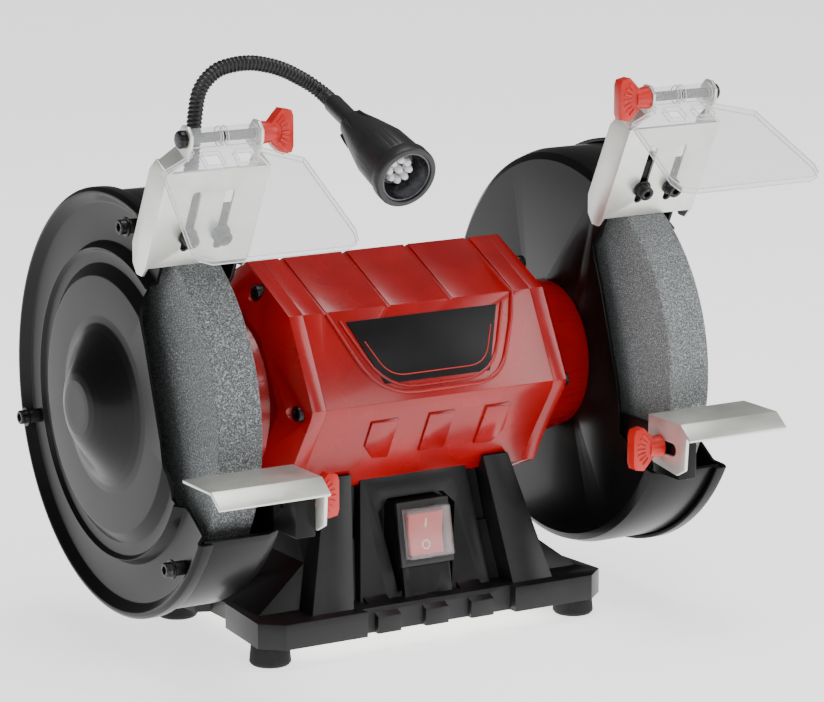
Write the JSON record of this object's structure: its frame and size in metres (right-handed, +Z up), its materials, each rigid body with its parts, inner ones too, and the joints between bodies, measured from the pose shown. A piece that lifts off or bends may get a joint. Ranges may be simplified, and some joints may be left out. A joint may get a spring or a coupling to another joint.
{
  "type": "bench grinder",
  "caption": "Double-ended bench grinder: guarded abrasive wheels on one motor shaft, tilting clear eye shields, sliding tool rests, a flexible lamp and a rocker switch.",
  "frame": {"origin": "on the bench plane under the rubber feet, midway between them", "axes": "+X along the motor shaft towards the fine wheel, -Y the operator's side with the switch, +Z up"},
  "size_m": [0.3616, 0.2599, 0.3148],
  "materials": {
    "black_enamel": "satin black enamel on cast iron with a fine orange peel",
    "guard_black": "glossy black stoved enamel on pressed sheet",
    "red_enamel": "glossy red enamel on the motor housing",
    "zinc_sheet": "zinc plated sheet, faintly yellow and mottled",
    "bright_steel": "turned bright steel",
    "lamination_steel": "stacked dull laminations",
    "dark_screws": "black oxide fasteners",
    "copper_winding": "varnished copper wire",
    "capacitor_can": "plain pale plastic can",
    "black_plastic": "moulded black plastic with a fine grain",
    "flexible_neck": "ribbed black sleeve over a flexible metal arm",
    "knob_red": "moulded red plastic",
    "switch_red": "translucent red rocker",
    "clear_boot": "soft clear plastic boot",
    "clear_shield": "clear moulded polycarbonate",
    "name_plate": "gloss black plate with a thin red line, no wording",
    "black_rubber": "matt black rubber",
    "lamp_reflector": "darkened reflector cone",
    "led_lens": "clear domed lenses",
    "abrasive_coarse": "bonded grey aluminium oxide, coarse speckle",
    "abrasive_fine": "bonded grey aluminium oxide, fine speckle"
  },
  "bodies": {
    "grinder": {"base_casting": "black_enamel", "base_bottom_plate": "zinc_sheet", "rubber_feet": "black_rubber", "cable_gland": "black_plastic", "run_capacitor": "capacitor_can", "switch_bezel": "black_plastic", "switch_dust_cover": "clear_boot", "motor_shell": "red_enamel", "name_plate": "name_plate", "end_bell_screws": "dark_screws", "stator_core": "lamination_steel", "stator_windings": "copper_winding", "bearing_outer_rings": "bright_steel", "bearing_balls": "bright_steel", "preload_washers": "bright_steel", "cover_screws": "dark_screws", "cover_spacers": "black_plastic", "guard_mount_screws": "dark_screws", "deflector_screws": "dark_screws", "rest_arm_screws": "dark_screws", "rest_studs": "dark_screws", "lamp_socket": "black_plastic", "left_end_bell": "red_enamel", "left_guard_drum": "guard_black", "left_guard_cover": "guard_black", "left_rest_arm": "guard_black", "right_end_bell": "red_enamel", "right_guard_drum": "guard_black", "right_guard_cover": "guard_black", "right_rest_arm": "guard_black"},
    "rotor": {"shaft": "bright_steel", "rotor_core": "lamination_steel", "bearing_inner_rings": "bright_steel", "left_grinding_wheel": "abrasive_coarse", "right_grinding_wheel": "abrasive_fine", "left_wheel_nut": "bright_steel", "right_wheel_nut": "bright_steel", "inner_flanges": "zinc_sheet", "outer_flanges": "zinc_sheet"},
    "switch_rocker": {"switch_rocker": "switch_red"},
    "left_deflector": {"left_spark_deflector": "zinc_sheet", "left_hinge_bolt": "dark_screws"},
    "left_shield": {"left_eye_shield": "clear_shield"},
    "left_shield_knob": {"left_shield_knob": "knob_red"},
    "left_rest": {"left_tool_rest": "zinc_sheet"},
    "left_rest_knob": {"left_rest_knob": "knob_red"},
    "right_deflector": {"right_spark_deflector": "zinc_sheet", "right_hinge_bolt": "dark_screws"},
    "right_shield": {"right_eye_shield": "clear_shield"},
    "right_shield_knob": {"right_shield_knob": "knob_red"},
    "right_rest": {"right_tool_rest": "zinc_sheet"},
    "right_rest_knob": {"right_rest_knob": "knob_red"},
    "lamp_neck": {"lamp_neck": "flexible_neck"},
    "lamp_head": {"lamp_shell": "black_plastic", "lamp_ring": "black_plastic", "lamp_reflector": "lamp_reflector", "led_cluster": "led_lens"}
  },
  "joints": [
    {"name": "rotor_spin", "type": "hinge", "parent": "grinder", "child": "rotor", "pos_m": [0, 0, 0.1325], "axis": [1, 0, 0], "continuous": true},
    {"name": "switch_rock", "type": "hinge", "parent": "grinder", "child": "switch_rocker", "pos_m": [0, -0.04735, 0.05662], "axis": [-1, 0, 0], "range_deg": [0, 16]},
    {"name": "left_deflector_slide", "type": "slide", "parent": "grinder", "child": "left_deflector", "axis": [0, -0.4462, 0.8949], "range_m": [0, 0.0065]},
    {"name": "left_shield_tilt", "type": "hinge", "parent": "left_deflector", "child": "left_shield", "pos_m": [-0.1358, -0.08402, 0.28346], "axis": [-1, 0, 0], "range_deg": [-8, 100]},
    {"name": "left_shield_knob_turn", "type": "hinge", "parent": "left_deflector", "child": "left_shield_knob", "pos_m": [-0.106, -0.08402, 0.28346], "axis": [1, 0, 0], "range_deg": [0, 360]},
    {"name": "left_rest_slide", "type": "slide", "parent": "grinder", "child": "left_rest", "axis": [0, -1, 0], "range_m": [-0.001, 0.004]},
    {"name": "left_rest_knob_turn", "type": "hinge", "parent": "grinder", "child": "left_rest_knob", "pos_m": [-0.098, -0.113, 0.1035], "axis": [1, 0, 0], "range_deg": [0, 360]},
    {"name": "right_deflector_slide", "type": "slide", "parent": "grinder", "child": "right_deflector", "axis": [0, -0.4462, 0.8949], "range_m": [0, 0.0065]},
    {"name": "right_shield_tilt", "type": "hinge", "parent": "right_deflector", "child": "right_shield", "pos_m": [0.1358, -0.08402, 0.28346], "axis": [-1, 0, 0], "range_deg": [-18, 90]},
    {"name": "right_shield_knob_turn", "type": "hinge", "parent": "right_deflector", "child": "right_shield_knob", "pos_m": [0.106, -0.08402, 0.28346], "axis": [-1, 0, 0], "range_deg": [0, 360]},
    {"name": "right_rest_slide", "type": "slide", "parent": "grinder", "child": "right_rest", "axis": [0, -1, 0], "range_m": [-0.001, 0.004]},
    {"name": "right_rest_knob_turn", "type": "hinge", "parent": "grinder", "child": "right_rest_knob", "pos_m": [0.098, -0.113, 0.1035], "axis": [-1, 0, 0], "range_deg": [0, 360]},
    {"name": "lamp_neck_swivel", "type": "hinge", "parent": "grinder", "child": "lamp_neck", "pos_m": [-0.1275, -0.035, 0.2535], "axis": [0, 0, 1], "range_deg": [-10, 60]},
    {"name": "lamp_head_tilt", "type": "hinge", "parent": "lamp_neck", "child": "lamp_head", "pos_m": [-0.0527, -0.0455, 0.29], "axis": [-1, 0, 0], "range_deg": [-25, 25]}
  ]
}
